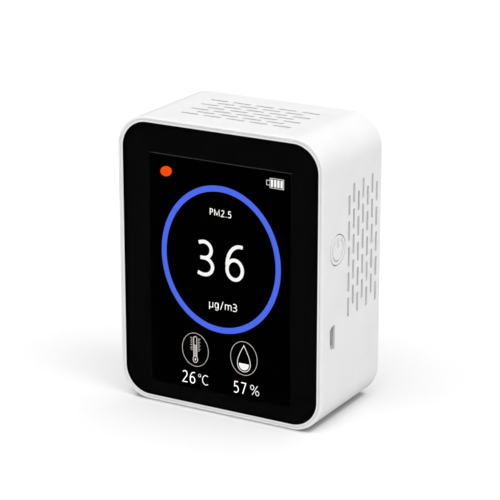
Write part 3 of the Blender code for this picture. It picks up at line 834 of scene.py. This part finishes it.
def status_dot():
    """An oval dot that leans a little, so that it looks level from the right."""
    centre_x, centre_z, lean = -18.92 * MM, 74.72 * MM, 0.13
    dot = ellipse(centre_x, centre_z, *mm(2.02, 1.6))()
    leaning = [(x, z + lean * (x - centre_x)) for x, z in dot]
    lit_piece("status_dot", [(polygon(leaning), [])], "light_orange")


def battery_icon():
    """A battery on its side, with its pole to the left and four full cells."""
    line = 0.13 * MM
    x, z, half_x, half_z = mm(19.36, 76.17, 2.36, 1.54)
    cell_pitch, cell_half_x, cell_margin = mm(1.08, 0.38, 0.4)
    pole_half, pole_length = mm(0.72, 1.15)
    pole_x = x - half_x + line / 2
    pole_end = pole_x - pole_length
    ends = ((pole_x, 1), (pole_end, 1), (pole_end, -1), (pole_x, -1))
    pole = [(end, z + side * pole_half) for end, side in ends]
    shapes = [frame_shape(rectangle(x, z, half_x, half_z), line), (polygon(band(pole, line)), [])]
    for cell in range(4):
        cell_x = x + (cell - 1.5) * cell_pitch
        shapes.append((rectangle(cell_x, z, cell_half_x, half_z - cell_margin), []))
    lit_piece("battery_icon", shapes, "light_white")


def thermometer_icon():
    """A thermometer between two scales, in a circle."""
    x, z = mm(-9.09, 19.08)
    top, level, bulb_z = mm(23.5, 20.7, 15.95)
    tube_half, bulb_half_x, bulb_half_z = mm(0.66, 0.92, 1.15)
    wall = 0.2 * MM
    side, bend = tube_half - wall / 2, top - tube_half
    bulb_top = bulb_z + 0.85 * bulb_half_z
    tube_line = [(x + side, bulb_top), *bow(x, bend, side, side, 0, 180, 10), (x - side, bulb_top)]
    bulb = ring_shape(x, bulb_z, bulb_half_x, bulb_half_z, wall, wall)
    heart = ellipse(x, bulb_z, *mm(0.32, 0.5), steps=4)
    lit_piece("thermometer_glass", [(polygon(band(tube_line, wall)), []), bulb, (heart, [])], "light_line")
    column = rectangle(x, (level + bulb_top) / 2, tube_half - wall, (level - bulb_top) / 2)
    shapes = [(column, [])]
    first_tick, tick_pitch, tick_half, tick_gap, long_tick, short_tick = mm(22.8, 0.56, 0.13, 0.32, 0.4, 0.26)
    for direction in (-1, 1):
        for tick in range(8):
            half = short_tick if tick % 2 else long_tick
            middle = x + direction * (tube_half + tick_gap + half)
            shapes.append((rectangle(middle, first_tick - tick * tick_pitch, half, tick_half), []))
    lit_piece("thermometer_scales", shapes, "light_grey")
    lit_piece("thermometer_circle", [icon_circle(x, z)], "light_line")


def icon_circle(x, z):
    return ring_shape(x, z, *mm(4.72, 5.47, 0.11, 0.11))


def drop_icon():
    """A drop that is partly full, in a circle."""
    x, z = mm(8.13, 19.4)
    swell_x, half_z, rim, water_margin, water_level = mm(3.2336, 4.4, 0.19, 0.6, -1.6)
    steps = 64
    sharpness = 1.3  # how slender the drop's tip is
    outer = []
    for step in range(steps):
        turn = 2 * math.pi * step / steps
        swell = math.sin(turn) * abs(math.sin(turn / 2)) ** sharpness
        outer.append((x - swell_x * swell, z + half_z * math.cos(turn)))
    lit_piece("drop_icon", [frame_shape(polygon(outer), rim)], "light_white")
    pool = [point for point in offset(outer, -water_margin) if point[1] < z + water_level]
    lit_piece("drop_water", [(polygon(pool), [])], "light_white")
    lit_piece("drop_circle", [icon_circle(x, z)], "light_line")


# Signs of the readout: a width and some strokes, in units of the height of a digit.
# A stroke that ends where it starts is a closed loop.
SIGNS = {
    "2": (0.5, [bow(0.25, 0.74, 0.23, 0.26, 150, -28) + [(0, 0), (0.52, 0)]]),
    "3": (
        0.5,
        [
            [
                (-0.03, 0.957),
                *bow(0.17, 0.755, 0.33, 0.245, 120, 90),
                *bow(0.17, 0.755, 0.28, 0.245, 78, -90),
                (0.03, 0.51),
            ],
            [
                (0.03, 0.51),
                *bow(0.17, 0.255, 0.33, 0.255, 90, -90),
                *bow(0.17, 0.255, 0.38, 0.255, -102, -122),
                (-0.075, 0.05),
            ],
        ],
    ),
    "5": (0.5, [[(0.45, 1), (0.1, 1), (0.07, 0.56)] + bow(0.2, 0.31, 0.29, 0.31, 105, -128)]),
    "6": (0.5, [[(0.51, 0.99)] + bow(0.42, 0.4, 0.42, 0.6, 84, 180), bow(0.25, 0.29, 0.25, 0.29, 0, 360)]),
    "7": (0.5, [[(0, 1), (0.5, 1), (0.15, 0)]]),
    ".": (0.04, [[(0.02, -0.05), (0.02, 0.08)]]),
    "P": (0.44, [[(0, 0), (0, 1)] + bow(0.2, 0.74, 0.24, 0.26, 90, -90) + [(0, 0.48)]]),
    "M": (0.78, [[(0, 0), (0, 1), (0.39, 0.1), (0.78, 1), (0.78, 0)]]),
    "C": (0.66, [bow(0.42, 0.5, 0.42, 0.5, 55, 305)]),
    "µ": (0.5, [[(0, 0.74), (0, -0.3)], bow(0.25, 0.22, 0.25, 0.22, 180, 350), [(0.5, 0.74), (0.5, 0)]]),
    "g": (0.5, [bow(0.23, 0.37, 0.23, 0.37, 0, 360), [(0.5, 0.74)] + bow(0.25, -0.05, 0.25, 0.23, 0, -140)]),
    "m": (
        0.88,
        [
            [(0, 0), (0, 0.74)],
            bow(0.22, 0.5, 0.22, 0.24, 180, 0) + [(0.44, 0)],
            bow(0.66, 0.5, 0.22, 0.24, 180, 0) + [(0.88, 0)],
        ],
    ),
    "/": (0.4, [[(0, -0.12), (0.4, 1.05)]]),
    "°": (1, [bow(0.5, 0.5, 0.5, 0.5, 0, 360)]),
    "%": (
        0.74,
        [bow(0.14, 0.76, 0.15, 0.23, 0, 360), bow(0.6, 0.23, 0.15, 0.23, 0, 360), [(0.62, 1), (0.14, 0)]],
    ),
}
SIGN_SPACING = 0.31


def readout(name, text, x, z, line, light):
    """Numbers and units of the display, fitted between two x and two z places."""
    total = sum(SIGNS[sign][0] for sign in text) + SIGN_SPACING * (len(text) - 1)
    wide, high = (x[1] - x[0] - line) / total, z[1] - z[0] - line
    shapes = []
    cursor = 0.0
    for sign in text:
        width, strokes = SIGNS[sign]
        for stroke in strokes:
            points = [(x[0] + line / 2 + (cursor + u) * wide, z[0] + line / 2 + v * high) for u, v in stroke]
            is_loop = math.dist(points[0], points[-1]) < line / 8
            if is_loop:
                loop = points[:-1]
                shapes.append((polygon(offset(loop, line / 2)), [polygon(offset(loop, -line / 2))]))
            else:
                shapes.append((polygon(band(points, line)), []))
        cursor += width + SIGN_SPACING
    lit_piece(name, shapes, light)


READINGS = {  # text, spans in x and in z, line width, and light; lengths in millimetres
    "reading_name": ("PM2.5", (-3.6, 3.85), (63.22, 65.32), 0.18, "light_text"),
    "reading_tens": ("3", (-7.85, -2.2), (43.48, 55.05), 1.12, "light_white"),
    "reading_units": ("6", (1.75, 8.2), (43.5, 55.25), 1.12, "light_white"),
    "reading_scale": ("µg/m3", (-4.0, 5.75), (33.87, 36.33), 0.17, "light_text"),
    "temperature": ("26", (-13.88, -9.22), (7.76, 11.64), 0.28, "light_text"),
    "temperature_degree": ("°", (-8.1, -7.12), (10.32, 11.35), 0.11, "light_text"),
    "temperature_scale": ("C", (-6.68, -4.54), (8.06, 11.34), 0.2, "light_text"),
    "humidity": ("57", (4.48, 8.95), (7.72, 11.54), 0.28, "light_text"),
    "humidity_scale": ("%", (10.44, 13.44), (8.07, 11.38), 0.15, "light_text"),
}


def readings():
    for name, (text, x, z, line, light) in READINGS.items():
        readout(name, text, mm(*x), mm(*z), line * MM, light)


# ---------------- rear cover and its screws


def back_panel():
    """The rear cover: a grille over the exhaust fan, sunk screw seats, and ribs on its inner side."""
    edge, sink_radius, sink_depth, bore_radius = mm(0.4, 2.2, 1.4, 1.2)
    mesh = bmesh.new()
    stations = [(grow - COVER_INSET, w) for grow, w in eased(edge, -1)]
    stations.append((-COVER_INSET, COVER_THICKNESS))
    tube(mesh, CASE_OUTLINE, stations, on_back)
    slots = level_slots(REAR_GRILLE_HEIGHT)
    sinks = [circle(x, z, sink_radius) for x, z in SCREW_PLACES]
    bores = [circle(x, z, bore_radius) for x, z in SCREW_PLACES]
    outer_holes = [hole(MOUTH_ROUND) for hole in slots + sinks]
    fill(mesh, CASE_OUTLINE(-COVER_INSET - edge), outer_holes, on_back, 0.0)
    fill(mesh, CASE_OUTLINE(-COVER_INSET), [hole() for hole in slots + bores], on_back, COVER_THICKNESS)
    for slot in slots:
        tube(mesh, slot, [*eased(MOUTH_ROUND, 1), (0, COVER_THICKNESS)], on_back)
    for sink, bore in zip(sinks, bores):
        tube(mesh, sink, [*eased(MOUTH_ROUND, 1), (0, sink_depth)], on_back)
        fill(mesh, sink(), [bore()], on_back, sink_depth)
        tube(mesh, bore, [(0, sink_depth), (0, COVER_THICKNESS)], on_back)
    root = COVER_FRONT + 0.5 * MM  # the ribs' feet go a little into the cover
    for z in (mm(3.6, 4.7), mm(39.3, 40.4)):
        bar(mesh, mm(-24, 24), (30 * MM, root), z)
    for x in (mm(-26.5, -25.4), mm(25.4, 26.5)):
        bar(mesh, x, (31 * MM, root), mm(50, 76))
    finish_piece("back_panel", mesh, "shell_white", replaces=["rear_cover"])


def cross_outline(x, z, reach, half):
    points = []
    for quarter in range(4):
        turn = Matrix.Rotation(math.radians(90) * quarter, 2)
        for point in ((reach, -half), (reach, half), (half, half)):
            points.append(tuple(Vector((x, z)) + turn @ Vector(point)))
    return polygon(points)


def cover_screws():
    """Pan-head screws with a cross recess and a threaded shank."""
    head_radius = (SCREW_HIGH.x - SCREW_LOW.x) / 2
    top = BACK - SCREW_HIGH.y
    head, edge, recess, cross_half, cross_slope = mm(1.0, 0.35, 0.6, 0.26, 0.05)
    shank, pitch, thread_depth = mm(0.9, 0.4, 0.12)
    cross_reach = 0.62 * head_radius
    length = SCREW_HIGH.y - SCREW_LOW.y
    for number, (x, z) in enumerate(SCREW_PLACES, 1):
        disc = circle(x, z, head_radius)
        cross = cross_outline(x, z, cross_reach, cross_half)
        mesh = bmesh.new()
        fill(mesh, disc(-edge), [cross()], on_back, top)
        stations = [*eased(edge, -1, start=top), (0, top + head)]
        turns = int((length - head - shank) / pitch)
        for turn in range(2 * turns):
            groove = 0.0 if turn % 2 else thread_depth
            stations.append((shank - head_radius - groove, top + head + turn * pitch / 2))
        stations.append((shank / 3 - head_radius, top + length))
        tube(mesh, disc, stations, on_back, caps=(False, True))
        tube(mesh, cross, [(0, top), (-cross_slope, top + recess)], on_back, caps=(False, True))
        node = f"cover_screw_{number}"
        finish_piece(f"{node}_detailed", mesh, "steel", replaces=[node])


# ---------------- power button


def button_cap():
    """The round cap with its engraved power mark, and behind the wall its retaining bar and stem."""
    play, edge, mark_radius, stroke_middle, stroke_half = mm(0.08, 0.22, 3.35, 2.1, 1.5)
    cut_round, cut_depth, cut_width = mm(0.08, 0.8, 0.62)
    bar_thickness, stem_radius, overlap = mm(1.3, 1.3, 0.1)
    bar_front = WALL + GAP
    cap = circle(BUTTON_Z, BUTTON_Y, BUTTON_RADIUS - play, steps=72)
    opening = 33  # half of the ring's gap, in degrees
    arc = bow(BUTTON_Z, BUTTON_Y, mark_radius, mark_radius, opening, 360 - opening, 40)
    upright = rectangle(BUTTON_Z + stroke_middle, BUTTON_Y, stroke_half, cut_width / 2)
    marks = polygon(band(arc, cut_width)), upright
    mesh = bmesh.new()
    fill(mesh, cap(-edge), [mark(cut_round) for mark in marks], on_right, 0.0)
    for mark in marks:
        tube(mesh, mark, [*eased(cut_round, 1, steps=2), (0, cut_depth)], on_right)
        fill(mesh, mark(), [], on_right, cut_depth)
    tube(mesh, cap, [*eased(edge, -1), (0, bar_front + 2 * overlap)], on_right, caps=(False, True))
    retainer = rectangle(BUTTON_Z, BUTTON_Y, *mm(6.4, 1.4, 0.4))
    bar_back = bar_front + bar_thickness
    tube(mesh, retainer, [(0, bar_front), (0, bar_back)], on_right, caps=(True, True))
    stem = circle(BUTTON_Z, BUTTON_Y, stem_radius, steps=24)
    tube(mesh, stem, [(0, bar_back - overlap), (0, BUTTON_STEM)], on_right, caps=(True, True))
    finish_piece("button_cap", mesh, "shell_white", body="button", replaces=["power_button"])


# ---------------- charging socket


def socket_shell():
    """The folded steel shell of the socket, open towards the side of the case."""
    sheet, edge, back_wall = mm(0.3, 0.08, 0.5)
    mouth = HALF_WIDTH - USB_HIGH.x
    tail = HALF_WIDTH - USB_LOW.x
    stations = [(0, tail), (0, mouth + edge), (-edge, mouth)]
    stations += [(edge - sheet, mouth), (-sheet, mouth + edge), (-sheet, tail - back_wall)]
    mesh = bmesh.new()
    tube(mesh, socket_outline(0), stations, on_right, caps=(True, True))
    finish_piece("socket_shell", mesh, "socket_steel", replaces=["usb_shell"])


def socket_contacts():
    """Five gilt contacts along the socket's tongue."""
    low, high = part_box("usb_tongue")
    pitch, half, proud, sunk, back_end, front_end = mm(0.65, 0.17, 0.05, 0.02, 0.4, 0.3)
    depth = (low.y - proud - FRONT, low.y + sunk - FRONT)
    mesh = bmesh.new()
    for number in range(5):
        z = (low.z + high.z) / 2 + (number - 2) * pitch
        bar(mesh, (low.x + back_end, high.x - front_end), depth, (z - half, z + half))
    finish_piece("socket_contacts", mesh, "gold")


# ---------------- pieces that keep their frame shape

NODES_BY_FINISH = {
    "display_surface": ["lcd_panel"],
    "flex_film": ["display_flex"],
    "circuit_board": ["main_board", "dust_sensor_board"],
    "chip_resin": ["microcontroller", "charger_chip", "photodiode"],
    "cream_plastic": [f"{part}_socket" for part in ("display", "battery", "board_sensor", "dust_sensor")]
    + ["climate_sensor"],
    "pale_plastic": ["usb_tongue"],
    "dark_plastic": ["switch_body", "fan_frame", "fan_rotor"],
    "grey_plastic": ["switch_plunger"],
    "sensor_plastic": ["dust_sensor_base"],
    "steel": ["backlight_tray", "dust_sensor_lid", "fan_shaft"]
    + [f"board_screw_{number}" for number in range(1, 5)],
    "brass": ["laser_module"],
    "battery_foil": ["battery"],
    "foam": ["battery_pad"],
    "red_sleeve": ["battery_lead_red"],
    "black_sleeve": ["battery_lead_black"],
    "grey_sleeve": ["sensor_cable"],
}


def dress_nodes():
    for finish, nodes in NODES_BY_FINISH.items():
        for node in nodes:
            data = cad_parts[node].data
            data.materials.clear()
            data.materials.append(MATERIALS[finish])


# ---------------- stage


def by_ray(tree, usual, seen, mirrored):
    """A value that is different for the camera's own rays and for mirrored ones."""
    rays = tree.nodes.new("ShaderNodeLightPath").outputs
    links = {"Factor": rays["Is Camera Ray"], "A": usual, "B": seen}
    chosen = add_node(tree, "ShaderNodeMix", links).outputs["Result"]
    links = {"Factor": rays["Is Glossy Ray"], "A": chosen, "B": mirrored}
    return add_node(tree, "ShaderNodeMix", links).outputs["Result"]


FLOOR_BOUNCE = 1.0  # reflectance with which the floor lights the case
FLOOR_SEEN = 0.94
FLOOR_MIRRORED = 0.015
PAINTED_SHADOW_REACH = 2.0 * MM  # how far the contact shadow painted into the floor's colour spreads
# how dark the painted contact shadow gets at a wall's foot, as a share of the floor's tone
PAINTED_SHADOW_LEVEL = 0.6
OPENNESS_AT_WALL = 0.5  # share of open air over the floor right beside a wall
OPENNESS_AWAY = 0.95
FLOOR_HALF_SIZE = 6.0


def stage_floor():
    """A wide white floor, which mirrors as a dark one so that the glass stays black. A contact shadow is painted
    into its colour where ambient occlusion finds the case close by, and it also dims the light that the floor
    bounces onto the case's underside.
    """
    material = bpy.data.materials.new("floor_paint")
    material.use_nodes = True
    tree = material.node_tree
    tree.nodes.clear()
    # painted shadow: ambient occlusion darkens the floor's colour near the case, for every kind of ray
    openness = add_node(tree, "ShaderNodeAmbientOcclusion", {"Distance": PAINTED_SHADOW_REACH}).outputs["AO"]
    links = {"Value": openness, "From Min": OPENNESS_AT_WALL, "From Max": OPENNESS_AWAY, "To Min": PAINTED_SHADOW_LEVEL}
    shadow = add_node(tree, "ShaderNodeMapRange", links).outputs["Result"]
    tone = by_ray(tree, FLOOR_BOUNCE, FLOOR_SEEN, FLOOR_MIRRORED)
    colour = add_node(tree, "ShaderNodeMath", {0: shadow, 1: tone}, operation="MULTIPLY").outputs["Value"]
    paint = add_node(tree, "ShaderNodeBsdfDiffuse", {"Color": colour}).outputs["BSDF"]
    add_node(tree, "ShaderNodeOutputMaterial", {"Surface": paint})
    mesh = bmesh.new()
    bmesh.ops.create_grid(mesh, x_segments=1, y_segments=1, size=FLOOR_HALF_SIZE)
    data = bpy.data.meshes.new("floor")
    mesh.to_mesh(data)
    mesh.free()
    data.materials.append(material)
    floor = bpy.data.objects.new("floor", data)
    bpy.context.scene.collection.objects.link(floor)


SKY_LOW = 0.05
SKY_HIGH = 0.3
SKY_SEEN = 1.0
SKY_MIRRORED_LOW = 0.03
SKY_MIRRORED_HIGH = 0.7
SKY_MIRRORED_FULL = 0.3  # sine of the height from which the mirrored sky is at its brightest


def studio_sky():
    """Soft light from all round, brightest overhead."""
    world = bpy.data.worlds.new("studio")
    world.use_nodes = True
    bpy.context.scene.world = world
    tree = world.node_tree
    direction = tree.nodes.new("ShaderNodeTexCoord").outputs["Generated"]
    height = add_node(tree, "ShaderNodeSeparateXYZ", {"Vector": direction}).outputs["Z"]

    def rising(low, high, full):
        """A strength that grows from the horizon to the height whose sine is full."""
        links = {"Value": height, "From Max": full, "To Min": low, "To Max": high}
        return add_node(tree, "ShaderNodeMapRange", links).outputs["Result"]

    mirrored = rising(SKY_MIRRORED_LOW, SKY_MIRRORED_HIGH, SKY_MIRRORED_FULL)
    strength = by_ray(tree, rising(SKY_LOW, SKY_HIGH, 1.0), SKY_SEEN, mirrored)
    background = tree.nodes["Background"]
    background.inputs["Color"].default_value = (1.0, 1.0, 1.0, 1.0)
    tree.links.new(strength, background.inputs["Strength"])


LAMPS = {  # the direction each one lies in, its strength and its spread in degrees
    "overhead_lamp": ((0.0, -0.2, 1.0), 1.76, 70),
    "key_lamp": ((0.6, -0.15, 0.8), 0.5, 45),
    "right_lamp": ((1.0, 0.05, 0.5), 0.69, 70),
    "left_lamp": ((-0.8, -0.6, 0.6), 0.42, 60),
    "back_lamp": ((0.2, 1.0, 0.3), 0.32, 60),
    "front_lamp": ((-0.1, -1.0, 0.35), 0.42, 60),
}


def studio_lamps():
    """Far, broad lamps round the case."""
    for name, (toward, strength, spread) in LAMPS.items():
        light = bpy.data.lights.new(name, "SUN")
        light.energy = strength
        light.angle = math.radians(spread)
        lamp = bpy.data.objects.new(name, light)
        lamp.rotation_euler = Vector(toward).to_track_quat("Z", "Y").to_euler()
        bpy.context.scene.collection.objects.link(lamp)


CAMERA_TURN = math.radians(29.82)
CAMERA_PITCH = math.radians(17.78)
CAMERA_DISTANCE = 681.25 * MM
CAMERA_LENS = 158.93  # on a 36 mm sensor
CAMERA_RISE = 2.03 * MM  # how far above the middle of the case the camera aims


def main_camera():
    lens = bpy.data.cameras.new("main_camera")
    lens.lens = CAMERA_LENS
    lens.clip_start = 0.01
    lens.clip_end = 50
    camera = bpy.data.objects.new("main_camera", lens)
    camera.rotation_euler = (math.radians(90) - CAMERA_PITCH, 0, CAMERA_TURN)
    turn = camera.rotation_euler.to_matrix()
    camera.location = Vector((0, 0, CENTRE_Z)) + turn @ Vector((0, CAMERA_RISE, CAMERA_DISTANCE))
    bpy.context.scene.collection.objects.link(camera)
    bpy.context.scene.camera = camera


def build():
    main_camera()
    shell_body()
    glass_frame()
    glass_lens()
    glass_border()
    glass_gasket()
    window_edge()
    air_ring()
    status_dot()
    battery_icon()
    thermometer_icon()
    drop_icon()
    readings()
    back_panel()
    cover_screws()
    button_cap()
    socket_shell()
    socket_contacts()
    dress_nodes()
    stage_floor()
    studio_sky()
    studio_lamps()
    bpy.context.scene.view_settings.view_transform = "Standard"


build()
